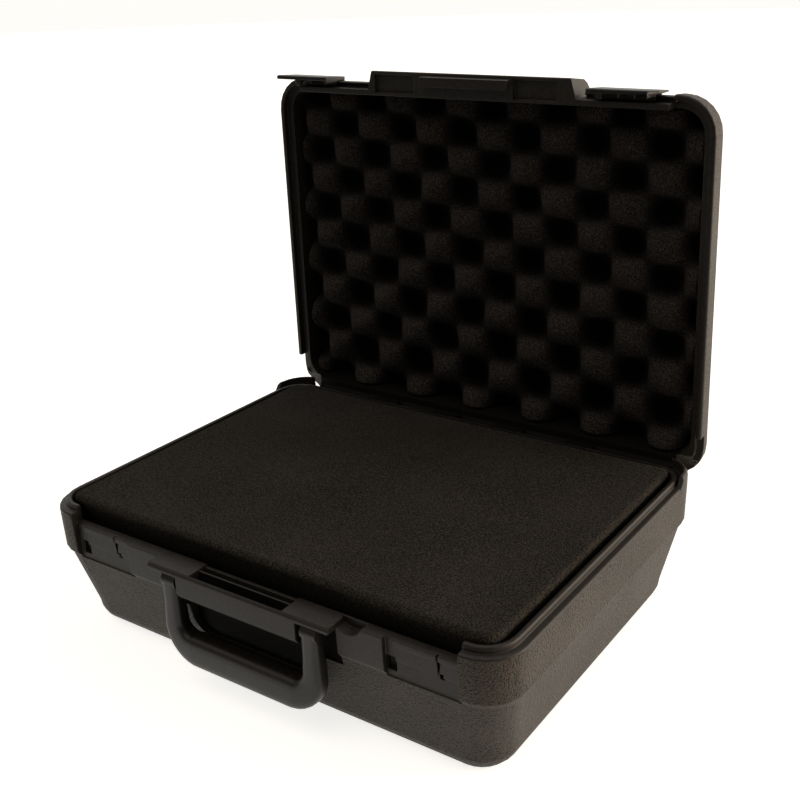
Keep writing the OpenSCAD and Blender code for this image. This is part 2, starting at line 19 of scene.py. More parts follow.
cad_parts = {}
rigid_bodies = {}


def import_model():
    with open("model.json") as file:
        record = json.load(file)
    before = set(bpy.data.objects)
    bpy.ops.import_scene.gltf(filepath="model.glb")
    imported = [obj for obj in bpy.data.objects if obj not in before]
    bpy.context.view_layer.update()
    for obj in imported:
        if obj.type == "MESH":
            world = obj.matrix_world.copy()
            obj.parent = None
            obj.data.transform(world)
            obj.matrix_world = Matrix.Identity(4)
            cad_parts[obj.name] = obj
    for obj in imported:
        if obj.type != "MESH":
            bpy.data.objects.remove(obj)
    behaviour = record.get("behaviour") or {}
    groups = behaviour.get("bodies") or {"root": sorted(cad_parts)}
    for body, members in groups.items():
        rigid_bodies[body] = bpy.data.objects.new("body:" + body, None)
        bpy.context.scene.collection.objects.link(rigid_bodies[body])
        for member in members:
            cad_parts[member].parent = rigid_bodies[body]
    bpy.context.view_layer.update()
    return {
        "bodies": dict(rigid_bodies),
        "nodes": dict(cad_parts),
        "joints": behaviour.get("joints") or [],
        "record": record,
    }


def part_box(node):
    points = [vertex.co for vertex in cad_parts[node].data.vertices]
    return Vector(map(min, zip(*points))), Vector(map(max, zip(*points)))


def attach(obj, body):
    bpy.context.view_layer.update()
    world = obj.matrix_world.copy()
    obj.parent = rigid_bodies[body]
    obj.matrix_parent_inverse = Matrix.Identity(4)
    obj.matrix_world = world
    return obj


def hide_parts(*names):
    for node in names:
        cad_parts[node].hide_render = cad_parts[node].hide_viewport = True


LOG = logging.getLogger("case")
MM = 0.001
# How far the roughness of moulded plastic changes either way over a piece
ROUGHNESS_DRIFT = 0.06
# Corners of the frame's loose triangles that lie closer than this are one corner
MERGE_REACH = 0.004 * MM
# Facets that meet at less than this angle are one flat face
FLAT_TURN = math.radians(0.6)
# An edge that turns by more than this is a moulded edge and gets a rounding
MOULDED_TURN = math.radians(32)
# Shading stays crisp across an edge that turns by more than this
CRISP_TURN = math.radians(38)
FOAM_CRISP_TURN = math.radians(60)
# Rows of faces round the rolled edge of a piece of foam
ROLL_STEPS = 5


def linear(colour: str) -> tuple[float, float, float, float]:
    """Turns an sRGB hex colour into linear values.

    Args:
        colour: The colour as "#rrggbb".

    Returns:
        Red, green, blue and an alpha of one.
    """
    parts = [int(colour[i : i + 2], 16) / 255 for i in (1, 3, 5)]
    flat = [p / 12.92 if p <= 0.04045 else ((p + 0.055) / 1.055) ** 2.4 for p in parts]
    return flat[0], flat[1], flat[2], 1.0


def add_node(
    tree: bpy.types.NodeTree,
    kind: str,
    values: dict[str | int, object] | None = None,
    links: dict[str | int, bpy.types.NodeSocket] | None = None,
    **settings: object,
) -> bpy.types.Node:
    """Adds one shader node with its settings, socket values and links.

    Args:
        tree: The node tree that gets the node.
        kind: The node's type name without the leading "ShaderNode".
        values: Values for input sockets, by name or number.
        links: Output sockets to link from, by the input's name or number.
        **settings: Attributes of the node itself.

    Returns:
        The new node.
    """
    node = tree.nodes.new("ShaderNode" + kind)
    for key, value in settings.items():
        setattr(node, key, value)
    for key, value in (values or {}).items():
        node.inputs[key].default_value = value
    for key, source in (links or {}).items():
        tree.links.new(source, node.inputs[key])
    return node


def new_material(name: str) -> tuple[bpy.types.Material, bpy.types.NodeTree]:
    """Makes an empty node material.

    Args:
        name: The material's name.

    Returns:
        The material and its node tree.
    """
    material = bpy.data.materials.new(name)
    material.use_nodes = True
    material.node_tree.nodes.clear()
    return material, material.node_tree


@dataclass(frozen=True)
class MouldedPlastic:
    """Polyethylene or polypropylene as it leaves a mould, with or without pebble grain.

    The grain of a blow mould is etched in the tool: low round pebbles about a millimetre wide,
    which break up the sheen. Their tops are painted paler and the gaps darker, as painted light and
    shade.

    Attributes:
        name: The material's name.
        painted_shade_colour: Painted shade, the darker colour between the pebbles.
        painted_light_colour: Painted light, the paler colour on top of them.
        roughness: Middle of the roughness, which changes a little over the piece.
        pebble_mm: Width of a pebble.
        pebble_depth_mm: Height of the relief that the pebbles seem to have.
        gloss: Strength of the sheen.
        ior: Index of refraction.
    """

    name: str
    painted_shade_colour: str
    painted_light_colour: str
    roughness: float
    pebble_mm: float
    pebble_depth_mm: float
    gloss: float = 0.5
    ior: float = 1.5

    def build(self) -> bpy.types.Material:
        """Makes the material with its pebbles, fine tooth and slight tone changes."""
        material, tree = new_material(self.name)
        place = add_node(tree, "TexCoord").outputs["Object"]
        # Pebbles: rounded cells of the width of the real grain
        cells = add_node(
            tree, "TexVoronoi", {"Scale": 1 / (self.pebble_mm * MM), "Randomness": 0.9},
            {"Vector": place}, feature="SMOOTH_F1",
        )
        # Tooth: the faint blasted texture between the pebbles, drawn at half their width
        tooth = add_node(
            tree, "TexNoise", {"Scale": 2 / (self.pebble_mm * MM), "Detail": 2.0}, {"Vector": place}
        )
        # Broad cloudy changes of tone, about 60 mm across, from handling
        cloud = add_node(tree, "TexNoise", {"Scale": 16.0, "Detail": 3.0}, {"Vector": place})
        # The tooth adds a third to the pebbles' height, and the clouds a fifth to their tone
        height = add_node(
            tree, "Math", {1: 0.35}, {0: tooth.outputs["Fac"], 2: cells.outputs["Distance"]},
            operation="MULTIPLY_ADD",
        )
        shade = add_node(
            tree, "Math", {1: 0.2}, {0: cloud.outputs["Fac"], 2: cells.outputs["Distance"]},
            operation="MULTIPLY_ADD",
        )
        ramp = add_node(
            tree, "MapRange", {"From Min": 0.2, "From Max": 0.8}, {"Value": shade.outputs[0]}
        )
        # Painted light and shade: pebble tops take the paler colour and the gaps the darker one
        colour = add_node(
            tree, "Mix", {6: linear(self.painted_light_colour), 7: linear(self.painted_shade_colour)},
            {0: ramp.outputs[0]}, data_type="RGBA",
        )
        least, most = self.roughness - ROUGHNESS_DRIFT, self.roughness + ROUGHNESS_DRIFT
        rough = add_node(
            tree, "MapRange", {"To Min": least, "To Max": most}, {"Value": cloud.outputs["Fac"]}
        )
        bump = add_node(
            tree, "Bump", {"Strength": 1.0, "Distance": self.pebble_depth_mm * MM},
            {"Height": height.outputs[0]}, invert=True,
        )
        shader = add_node(
            tree, "BsdfPrincipled", {"IOR": self.ior, "Specular IOR Level": self.gloss},
            {"Base Color": colour.outputs[2], "Roughness": rough.outputs[0],
             "Normal": bump.outputs[0]},
        )
        add_node(tree, "OutputMaterial", links={"Surface": shader.outputs[0]})
        return material


@dataclass(frozen=True)
class OpenCellFoam:
    """Charcoal polyurethane foam, cut from a block, so its skin is all broken cells.

    The cells swallow light and show as a fine salt-and-pepper speckle with no sheen.

    Attributes:
        name: The material's name.
        wall: Colour of the cell walls.
        pit: Colour of the open cells.
        cell_mm: Width of a cell.
        painted_depth_shade: Painted shade that darkens the foam to near black towards its pits or
            down
        its hidden sides, where shade falls: the axis, with where the darkening starts and ends.
    """

    name: str
    wall: str
    pit: str
    cell_mm: float = 1.3
    painted_depth_shade: tuple[str, float, float] | None = None

    def build(self) -> bpy.types.Material:
        """Makes the material with its speckle of cell walls and pits."""
        material, tree = new_material(self.name)
        place = add_node(tree, "TexCoord").outputs["Object"]
        # Cells, drawn a little coarser than the real 0.5 mm so that they show
        cells = add_node(
            tree, "TexVoronoi", {"Scale": 1 / (self.cell_mm * MM)}, {"Vector": place}
        )
        grit = add_node(
            tree, "TexNoise", {"Scale": 0.8 / (self.cell_mm * MM), "Detail": 4.0, "Roughness": 0.7},
            {"Vector": place},
        )
        cloud = add_node(tree, "TexNoise", {"Scale": 12.0, "Detail": 2.0}, {"Vector": place})
        # Grit counts about as much as the cells, and the broad clouds a third of that
        mixed = add_node(
            tree, "Math", {1: 1.1}, {0: grit.outputs["Fac"], 2: cells.outputs["Distance"]},
            operation="MULTIPLY_ADD",
        )
        toned = add_node(
            tree, "Math", {1: 0.35}, {0: cloud.outputs["Fac"], 2: mixed.outputs[0]},
            operation="MULTIPLY_ADD",
        )
        ramp = add_node(
            tree, "MapRange", {"From Min": 0.8, "From Max": 1.6}, {"Value": toned.outputs[0]}
        )
        colour = add_node(
            tree, "Mix", {6: linear(self.pit), 7: linear(self.wall)}, {0: ramp.outputs[0]},
            data_type="RGBA",
        )
        body = colour.outputs[2]
        # Painted shade: the colour is mixed towards near black along the axis, for the shade in
        # pits and down hidden sides
        if self.painted_depth_shade:
            axis, start, end = self.painted_depth_shade
            along = add_node(tree, "SeparateXYZ", links={0: place})
            painted_depth_shade = add_node(
                tree, "MapRange",
                {"From Min": min(start, end), "From Max": max(start, end),
                 "To Min": float(start > end), "To Max": float(start < end)},
                {"Value": along.outputs[axis]}, interpolation_type="SMOOTHSTEP",
            )
            body = add_node(
                tree, "Mix", {7: linear("#020202")}, {0: painted_depth_shade.outputs[0], 6: body},
                data_type="RGBA",
            ).outputs[2]
        bump = add_node(
            tree, "Bump", {"Strength": 0.8, "Distance": 0.5 * MM}, {"Height": mixed.outputs[0]}
        )
        shader = add_node(
            tree, "BsdfPrincipled",
            {"Roughness": 1.0, "Specular IOR Level": 0.08},
            {"Base Color": body, "Normal": bump.outputs[0]},
        )
        add_node(tree, "OutputMaterial", links={"Surface": shader.outputs[0]})
        return material


@dataclass(frozen=True)
class DrawnWire:
    """Plain steel wire, drawn through a die, with faint lengthwise lines.

    Attributes:
        name: The material's name.
        colour: Colour of the metal.
    """

    name: str
    colour: str

    def build(self) -> bpy.types.Material:
        """Makes the metal with its drawing lines along X."""
        material, tree = new_material(self.name)
        place = add_node(tree, "TexCoord").outputs["Object"]
        along = add_node(tree, "Mapping", {"Scale": (8.0, 2500.0, 2500.0)}, {"Vector": place})
        lines = add_node(
            tree, "TexNoise", {"Scale": 1.0, "Detail": 2.0}, {"Vector": along.outputs[0]}
        )
        rough = add_node(
            tree, "MapRange", {"To Min": 0.25, "To Max": 0.45}, {"Value": lines.outputs["Fac"]}
        )
        bump = add_node(
            tree, "Bump", {"Strength": 0.3, "Distance": 0.02 * MM}, {"Height": lines.outputs["Fac"]}
        )
        shader = add_node(
            tree, "BsdfPrincipled", {"Base Color": linear(self.colour), "Metallic": 1.0},
            {"Roughness": rough.outputs[0], "Normal": bump.outputs[0]},
        )
        add_node(tree, "OutputMaterial", links={"Surface": shader.outputs[0]})
        return material


class Finish(Enum):
    """The finishes of the case, one material each."""

    # Blow-moulded polyethylene from an etched mould: sandy grain with little sheen, and strong
    # painted light and shade on its pebbles
    GRAINED = MouldedPlastic(
        "grained_polyethylene", painted_shade_colour="#060504", painted_light_colour="#50463a", roughness=0.5,
        pebble_mm=1.2, pebble_depth_mm=1.2, gloss=0.22,
    )
    # The same plastic from the plain parts of the mould: even, with a soft sheen
    SHELL_SMOOTH = MouldedPlastic(
        "plain_polyethylene", painted_shade_colour="#191613", painted_light_colour="#27221d", roughness=0.5,
        pebble_mm=2.5, pebble_depth_mm=0.05, gloss=0.3,
    )
    # The same plastic with painted shade, darker and with less sheen, in deep hollows and on the
    # hinge side where shade falls
    SHADED = MouldedPlastic(
        "painted_shade_polyethylene", painted_shade_colour="#0b0a09", painted_light_colour="#12100f", roughness=0.7,
        pebble_mm=2.5, pebble_depth_mm=0.05, gloss=0.1,
    )
    # Injection-moulded polypropylene: a little smoother and shinier than the shells
    HARDWARE = MouldedPlastic(
        "moulded_polypropylene", painted_shade_colour="#15120f", painted_light_colour="#221d19", roughness=0.4,
        pebble_mm=2.0, pebble_depth_mm=0.05, gloss=0.33,
    )
    # Cut foam, dull and speckled, with painted shade darkening it down its sides
    FOAM = OpenCellFoam(
        "open_cell_polyurethane", wall="#43403c", pit="#0c0b0a", painted_depth_shade=("Z", 0.1075, 0.084)
    )
    # The same foam cut into peaks, with painted shade darkening it down its pits
    LID_FOAM = OpenCellFoam(
        "convoluted_polyurethane", wall="#474341", pit="#090808", painted_depth_shade=("Y", 0.1692, 0.1808)
    )
    STEEL = DrawnWire("drawn_steel_wire", "#9a9b9c")

    def material(self) -> bpy.types.Material:
        """Gives this finish's material, made the first time it is asked for."""
        return bpy.data.materials.get(self.value.name) or self.value.build()


@dataclass(frozen=True)
class CaseSizes:
    """Sizes of the case that the pieces of this scene share, in metres.

    Attributes:
        half_w: Half the width.
        half_d: Half the depth.
        rim_z: Height of the parting line.
        ceiling_z: Height at which the closed lid's cavity starts to round into its ceiling.
        seam_x: Distance from the middle to the seams beside the latches.
        hinge_y: Place of the hinge rod from front to back.
        hinge_z: Height of the hinge rod.
        open_angle: Turn from the closed to the open lid.
    """

    half_w: float = 0.210
    half_d: float = 0.156
    rim_z: float = 0.106
    ceiling_z: float = 0.1382
    seam_x: float = 0.1765
    hinge_y: float = 0.14875
    hinge_z: float = 0.09875
    open_angle: float = math.radians(90)

    def opened(self) -> Matrix:
        """Gives the turn that takes a piece drawn on the closed lid to the open lid."""
        pivot = Vector((0, self.hinge_y, self.hinge_z))
        turn = Matrix.Rotation(-self.open_angle, 4, "X")
        return Matrix.Translation(pivot) @ turn @ Matrix.Translation(-pivot)


def link_object(name: str, mesh: bpy.types.Mesh) -> bpy.types.Object:
    """Puts a mesh in the scene as an object at the origin.

    Args:
        name: The object's name.
        mesh: Its mesh.

    Returns:
        The new object.
    """
    piece = bpy.data.objects.new(name, mesh)
    bpy.context.scene.collection.objects.link(piece)
    return piece


@dataclass
class SoftenedSolid:
    """A rigid piece: the frame's own solid with its moulded edges rounded.

    Attributes:
        name: Name of the new piece.
        node: The frame's node that it stands for.
        body: The body that it rides on.
        slot: The record's material slot; not used.
        finish: Finish of all faces that no rule picks out.
        edge_round: Radius given to the sharp edges, in metres.
    """

    name: str
    node: str
    body: str
    slot: str
    finish: Finish
    edge_round: float = 0.6 * MM

    def copied(self, frame: dict) -> bmesh.types.BMesh:
        """Copies the solid's loose triangles and joins them into clean faces.

        Args:
            frame: The loaded frame.

        Returns:
            The joined mesh.
        """
        bm = bmesh.new()
        bm.from_mesh(frame["nodes"][self.node].data)
        bmesh.ops.remove_doubles(bm, verts=bm.verts, dist=MERGE_REACH)
        bmesh.ops.dissolve_degenerate(bm, edges=bm.edges, dist=MERGE_REACH)
        bmesh.ops.dissolve_limit(bm, angle_limit=FLAT_TURN, verts=bm.verts, edges=bm.edges)
        return bm

    def round_edges(self, bm: bmesh.types.BMesh) -> None:
        """Rounds each edge that turns by more than a moulded curve does.

        Args:
            bm: The mesh to round.
        """
        moulded = BVHTree.FromBMesh(bm)
        shortest = 0.5 * MM
        # Slivers are left as they are, because a rounding wider than they are would stand out
        narrowest = 0.6 * self.edge_round
        sharp = [
            e for e in bm.edges
            if e.is_manifold and e.calc_length() > shortest
            and e.calc_face_angle(0) > MOULDED_TURN
            and min(f.calc_area() for f in e.link_faces) > narrowest * e.calc_length()
        ]
        bmesh.ops.bevel(
            bm, geom=sharp, offset=self.edge_round, offset_type="OFFSET", segments=2,
            profile=0.5, affect="EDGES", clamp_overlap=False, material=-1, loop_slide=True,
        )
        # Where two roundings run past each other, their shared corner goes back onto the solid
        farthest = 0.6 * self.edge_round
        strays = 0
        for vert in bm.verts:
            nearest, _, _, distance = moulded.find_nearest(vert.co)
            if distance > farthest:
                vert.co = nearest
                strays += 1
        LOG.info("%s: %d stray corners put back", self.name, strays)
        bmesh.ops.remove_doubles(bm, verts=bm.verts, dist=0.01 * MM)
        bmesh.ops.dissolve_degenerate(bm, edges=bm.edges, dist=MERGE_REACH)

    def dress(self, face: bmesh.types.BMFace) -> Finish:
        """Picks the finish of a face; a plain piece has one finish all over."""
        return self.finish

    def build(self, frame: dict) -> bpy.types.Object:
        """Makes the piece and hands it to the frame.

        Args:
            frame: The loaded frame.

        Returns:
            The finished piece.
        """
        bm = self.copied(frame)
        finishes = [self.finish]
        for face in bm.faces:
            finish = self.dress(face)
            if finish not in finishes:
                finishes.append(finish)
            face.material_index = finishes.index(finish)
        self.round_edges(bm)
        bmesh.ops.triangulate(bm, faces=[f for f in bm.faces if len(f.verts) > 4])
        mesh = bpy.data.meshes.new(self.name)
        bm.to_mesh(mesh)
        bm.free()
        mesh.shade_smooth()
        mesh.set_sharp_from_angle(angle=CRISP_TURN)
        for finish in finishes:
            mesh.materials.append(finish.material())
        piece = link_object(self.name, mesh)
        weighted = piece.modifiers.new("even shading", "WEIGHTED_NORMAL")
        weighted.keep_sharp = True
        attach(piece, self.body)
        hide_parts(self.node)
        LOG.info("%s: %d faces", self.name, len(mesh.polygons))
        return piece


@dataclass
class OuterShell(SoftenedSolid):
    """A half of the case, with pebble grain on its outer walls only.

    Attributes:
        sizes: Sizes of the case.
        parting: Height of the plain rim, with the grain on the outer side of it.
        band: Height of the proud band beside the parting line.
        place: Turns a point of the piece to where it is on the closed, upright case.
        outward: 1 where the grain lies below the parting line, -1 where it lies above.
    """

    sizes: CaseSizes = field(default_factory=CaseSizes)
    parting: float = 106 * MM
    band: float = 36 * MM
    place: Matrix = field(default_factory=lambda: Matrix.Identity(4))
    outward: int = 1

    def in_painted_shade(self, point: Vector) -> bool:
        """Tells whether a point lies in a hollow of the front or in the shade of the hinge, where
        the shade is painted.

        Args:
            point: The point on the upright case.

        Returns:
            True inside one of the hollows.
        """
        # Distances from the middle, from the front face and from the floor
        x, y, z = abs(point.x), point.y + self.sizes.half_d, point.z
        hinge = x < 187 * MM and 290.5 * MM < y < 311 * MM and 90 * MM < z < 113 * MM
        if self.outward < 0:
            rear_wall = x < 190 * MM and 290.5 * MM < y < 295 * MM and z < 145 * MM
            return hinge or rear_wall
        slot = x < 44 * MM and -8.2 * MM < y < 2.2 * MM and 84 * MM < z < 96 * MM
        # The wall round the finger recess slopes back towards the floor
        wall_y = 7 * MM + (self.sizes.rim_z - z) * 0.103
        recess = x < 63 * MM and 32 * MM < z < 77 * MM and wall_y < y < 20 * MM
        pocket = 55 * MM < x < 82 * MM and 59 * MM < z < 92.5 * MM and 0 < y < 9 * MM
        return slot or recess or pocket or hinge

    def dress(self, face: bmesh.types.BMFace) -> Finish:
        """Picks grain for the outer walls, painted shade for the hollows and the hinge side, and
        none elsewhere.

        Args:
            face: A face of the shell.

        Returns:
            The finish of the face.
        """
        centre = self.place @ face.calc_center_median()
        way = self.place.to_3x3() @ face.normal
        s = self.sizes
        depth = (self.parting - centre.z) * self.outward
        # The zone of the latches across the front is smooth down to the end of the band
        latches = abs(centre.x) < s.seam_x + 1 * MM and centre.y < -s.half_d + 13 * MM
        # Hollows and the hinge side take the darker finish as painted shade
        if self.in_painted_shade(centre):
            return Finish.SHADED
        if depth < 1.5 * MM or latches and depth < self.band + 2 * MM:
            return self.finish
        if centre.y < -s.half_d - 1 * MM:
            return self.finish
        # Outer walls face away from the middle of the case, and so does the flat bottom or top
        edge_zone = 40 * MM
        reach_x, reach_y = s.half_w - edge_zone, s.half_d - edge_zone
        away = Vector((
            centre.x - max(-reach_x, min(reach_x, centre.x)),
            centre.y - max(-reach_y, min(reach_y, centre.y)), 0,
        ))
        outer = away.length > 0 and way.dot(away.normalized()) > 0.2
        end = depth > self.band and way.z * self.outward < -0.3
        return Finish.GRAINED if outer or end else self.finish


@dataclass
class FoamSheet:
    """A cut piece of foam: a fine top surface over straight sides and a flat back.

    Attributes:
        name: Name of the new piece.
        node: The frame's node that it stands for.
        body: The body that it rides on.
        finish: The foam's finish.
        low: Lower corner of the foam in its own upright place, in metres.
        high: Upper corner.
        corner: Radius of its corners seen from above.
        step: Width of a cell of the fine surface.
        relief: Drop of the surface below the highest point, at a point seen from above.
        roll: Radius of the soft upper edge.
        skirts: Rows of the sides below that edge, each with its distance outside the top's
            outline, its height and its corner radius; without them the sides are straight.
        flip: True where the fine surface looks down in the upright place.
        place: Turn from the upright place to where the foam is.
    """

    name: str
    node: str
    body: str
    finish: Finish
    low: Vector
    high: Vector
    corner: float
    step: float
    relief: Callable[[float, float], float]
    roll: float = 2.5 * MM
    skirts: tuple[tuple[float, float, float], ...] = ()
    flip: bool = False
    place: Matrix = field(default_factory=lambda: Matrix.Identity(4))

    def outline_way(
        self, point: Vector, inset: float, corner: float | None = None
    ) -> tuple[Vector, Vector]:
        """Finds where the outline passes a point, and which way is out.

        Args:
            point: A point on or near the outline.
            inset: How far inside the foam's sides the outline is wanted.
            corner: Corner radius of that outline, or None for one that follows the top's.

        Returns:
            The point of the outline and the outward direction there.
        """
        middle = (self.low + self.high) / 2
        half = (self.high - self.low) / 2
        r = max(self.corner - inset, 1 * MM) if corner is None else corner
        core = Vector((
            max(-half.x + inset + r, min(half.x - inset - r, point.x - middle.x)),
            max(-half.y + inset + r, min(half.y - inset - r, point.y - middle.y)), 0,
        ))
        away = Vector((point.x - middle.x, point.y - middle.y, 0)) - core
        away = away.normalized() if away.length > 1e-9 else Vector((1, 0, 0))
        return middle * Vector((1, 1, 0)) + core + away * r, away

    def surface(self) -> bmesh.types.BMesh:
        """Makes the fine surface as a grid that is drawn in at the corners."""
        bm = bmesh.new()
        size = self.high - self.low
        middle = (self.low + self.high) / 2
        nx, ny = round(size.x / self.step), round(size.y / self.step)
        bmesh.ops.create_grid(bm, x_segments=nx, y_segments=ny, size=0.5)
        inner = size - Vector((2 * self.roll, 2 * self.roll, 0))
        bmesh.ops.scale(bm, vec=(inner.x, inner.y, 1), verts=bm.verts)
        bmesh.ops.translate(bm, vec=(middle.x, middle.y, 0), verts=bm.verts)
        for v in bm.verts:
            edge, away = self.outline_way(v.co, self.roll)
            if (v.co - edge).dot(away) > 0 or v.is_boundary:
                v.co = Vector((edge.x, edge.y, 0))
        return bm

    @staticmethod
    def next_row(
        bm: bmesh.types.BMesh, rim: list[bmesh.types.BMEdge]
    ) -> tuple[list[bmesh.types.BMEdge], list[bmesh.types.BMVert]]:
        """Adds one row of faces below the open rim.

        Args:
            bm: The mesh.
            rim: Edges of its open rim.

        Returns:
            The edges and vertices of the new rim.
        """
        made = bmesh.ops.extrude_edge_only(bm, edges=rim)["geom"]
        return (
            [g for g in made if isinstance(g, bmesh.types.BMEdge)],
            [g for g in made if isinstance(g, bmesh.types.BMVert)],
        )

    def build(self) -> bpy.types.Object:
        """Makes the foam and hands it to the frame.

        Returns:
            The finished piece.
        """
        bm = self.surface()
        level, back = (self.low.z, self.high.z) if self.flip else (self.high.z, self.low.z)
        down = 1 if self.flip else -1
        for v in bm.verts:
            v.co.z = level + down * self.relief(v.co.x, v.co.y)
        rim = [e for e in bm.edges if e.is_boundary]
        reached = 0.0
        for step in range(1, ROLL_STEPS + 1):
            turn = math.radians(90 / ROLL_STEPS * step)
            fall = (1 - math.cos(turn)) * self.roll
            rim, verts = self.next_row(bm, rim)
            for v in verts:
                edge, away = self.outline_way(v.co, self.roll)
                height = v.co.z + down * (fall - reached)
                v.co = edge + away * math.sin(turn) * self.roll
                v.co.z = height
            reached = fall
        for out, height, corner in self.skirts or ((0.0, back, self.corner),):
            rim, verts = self.next_row(bm, rim)
            for v in verts:
                v.co = self.outline_way(v.co, -out, corner)[0]
                v.co.z = height
        bmesh.ops.contextual_create(bm, geom=rim)
        bmesh.ops.recalc_face_normals(bm, faces=bm.faces)
        bmesh.ops.transform(bm, matrix=self.place, verts=bm.verts)
        mesh = bpy.data.meshes.new(self.name)
        bm.to_mesh(mesh)
        bm.free()
        mesh.shade_smooth()
        mesh.set_sharp_from_angle(angle=FOAM_CRISP_TURN)
        mesh.materials.append(self.finish.material())
        piece = link_object(self.name, mesh)
        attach(piece, self.body)
        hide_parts(self.node)
        LOG.info("%s: %d faces", self.name, len(mesh.polygons))
        return piece


@dataclass
class FoamLiners:
    """The three foam pieces: the pad, the block that shows in the base, and the lid's peaks.

    Attributes:
        sizes: Sizes of the case.
        peak_pitch: Distance between peaks along a row.
        row_pitch: Distance between rows.
        peak_height: Height of the peaks above the pits.
        phase_x: Place of one peak across the lid.
        phase_y: Place of its row on the closed lid.
        row_growth: How much each row falls behind an even pitch, in rows.
        wander_mm: How far a peak may stand from its place, in millimetres.
        head_power: Power that makes the heads broad.
        pit_power: Power that makes the pits narrow.
        ripple_height: Height of the waves on the sawn block.
    """

    sizes: CaseSizes = field(default_factory=CaseSizes)
    peak_pitch: float = 62 * MM
    row_pitch: float = 25.6 * MM
    peak_height: float = 22 * MM
    phase_x: float = 9 * MM
    phase_y: float = -114.5 * MM
    row_growth: float = 0.0077
    wander_mm: float = 3.0
    head_power: float = 0.66
    pit_power: float = 0.95
    ripple_height: float = 0.7 * MM

    def peaks(self, x: float, y: float) -> float:
        """Gives the drop of the lid foam below its peaks at a point of the closed lid."""
        drift = noise.noise_vector(Vector((x * 24, y * 24, 3.0))) * self.wander_mm * MM
        # The sheet is stretched a little towards the hinge and lies slightly askew
        row = (y + drift.y - self.phase_y) / self.row_pitch
        row -= self.row_growth * row * row
        along = (x + drift.x - self.phase_x - row * MM) / self.peak_pitch
        wave = math.cos(2 * math.pi * along) * math.cos(math.pi * row)
        # The hot wire leaves round heads and narrower pits
        power = self.head_power if wave > 0 else self.pit_power
        lift = 0.5 + 0.5 * math.copysign(abs(wave) ** power, wave)
        return self.peak_height * (1 - lift)

    def ripple(self, x: float, y: float) -> float:
        """Gives the slight waviness of the sawn top of the block at a point."""
        broad = noise.noise(Vector((x * 14, y * 14, 0.0)))
        return (0.5 + 0.5 * broad) * self.ripple_height

    def build(self) -> None:
        """Makes the three pieces of foam."""
        # The skirts follow the drafted cavity: rows of distance out, height and corner radius
        low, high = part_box("base_foam_pad")
        FoamSheet(
            "foam_pad", "base_foam_pad", "base", Finish.FOAM, low, high,
            corner=22 * MM, step=12 * MM, relief=lambda x, y: 0.0, roll=1 * MM,
            skirts=((-0.7 * MM, low.z + 6 * MM, 21 * MM), (-6.2 * MM, low.z, 17 * MM)),
        ).build()
        low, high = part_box("base_foam_block")
        # The block's top is drawn in from the solid's box, and less so towards the hinge
        inset = Vector((3.16 * MM, 3.16 * MM, 0))
        hinge_reach = Vector((0, 2 * MM, 0))
        rim = self.sizes.rim_z
        FoamSheet(
            "foam_block", "base_foam_block", "base", Finish.FOAM,
            low + inset, high - inset + hinge_reach,
            corner=8 * MM, step=3 * MM, relief=self.ripple, roll=4 * MM,
            skirts=(
                (-1.5 * MM, rim, 9 * MM),
                (-6 * MM, rim - 14 * MM, 14 * MM),
                (-7 * MM, low.z, 16 * MM),
            ),
        ).build()
        low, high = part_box("lid_foam")
        opened = self.sizes.opened()
        a, b = opened.inverted() @ low, opened.inverted() @ high
        # Soft foam presses lightly on the walls, and its back clears the rounded ceiling
        spread = Vector((1.6 * MM, 1.6 * MM, 0))
        low = Vector(map(min, a, b)) - spread
        high = Vector(map(max, a, b)) + spread
        FoamSheet(
            "foam_peaks", "lid_foam", "lid", Finish.LID_FOAM, low, high,
            corner=17 * MM, step=2.2 * MM, relief=self.peaks, roll=1.5 * MM,
            skirts=((0.0, self.sizes.ceiling_z, 17 * MM), (-6.3 * MM, high.z, 12 * MM)),
            flip=True, place=opened,
        ).build()


@dataclass
class CaseBody:
    """The moulded shells with the wire that joins them.

    Attributes:
        sizes: Sizes of the case.
        lid_band: Height of the band along the lid's parting line.
    """

    sizes: CaseSizes = field(default_factory=CaseSizes)
    lid_band: float = 20 * MM

    def build(self, frame: dict) -> None:
        """Makes both shells and gives the hinge rod its metal.

        Args:
            frame: The loaded frame.
        """
        OuterShell(
            "shell_base", "base_shell", "base", "shell", Finish.SHELL_SMOOTH,
            sizes=self.sizes, parting=self.sizes.rim_z,
        ).build(frame)
        OuterShell(
            "shell_lid", "lid_shell", "lid", "shell", Finish.SHELL_SMOOTH,
            sizes=self.sizes, parting=self.sizes.rim_z, band=self.lid_band,
            place=self.sizes.opened().inverted(), outward=-1,
        ).build(frame)
        rod = frame["nodes"]["hinge_rod"]
        rod.data.materials.clear()
        rod.data.materials.append(Finish.STEEL.material())
        LOG.info("hinge_rod: wire finish")


@dataclass
class Hardware:
    """The carry handle and the two latch slides, injection moulded.

    Attributes:
        edge_round: Radius of their sharp edges, in metres.
    """

    edge_round: float = 0.5 * MM

    def build(self, frame: dict) -> None:
        """Makes the three pieces.

        Args:
            frame: The loaded frame.
        """
        for name, node, body in (
            ("handle", "carry_handle", "handle"),
            ("slide_left", "latch_slide_left", "latch_left"),
            ("slide_right", "latch_slide_right", "latch_right"),
        ):
            SoftenedSolid(
                name, node, body, "hardware", Finish.HARDWARE, self.edge_round
            ).build(frame)


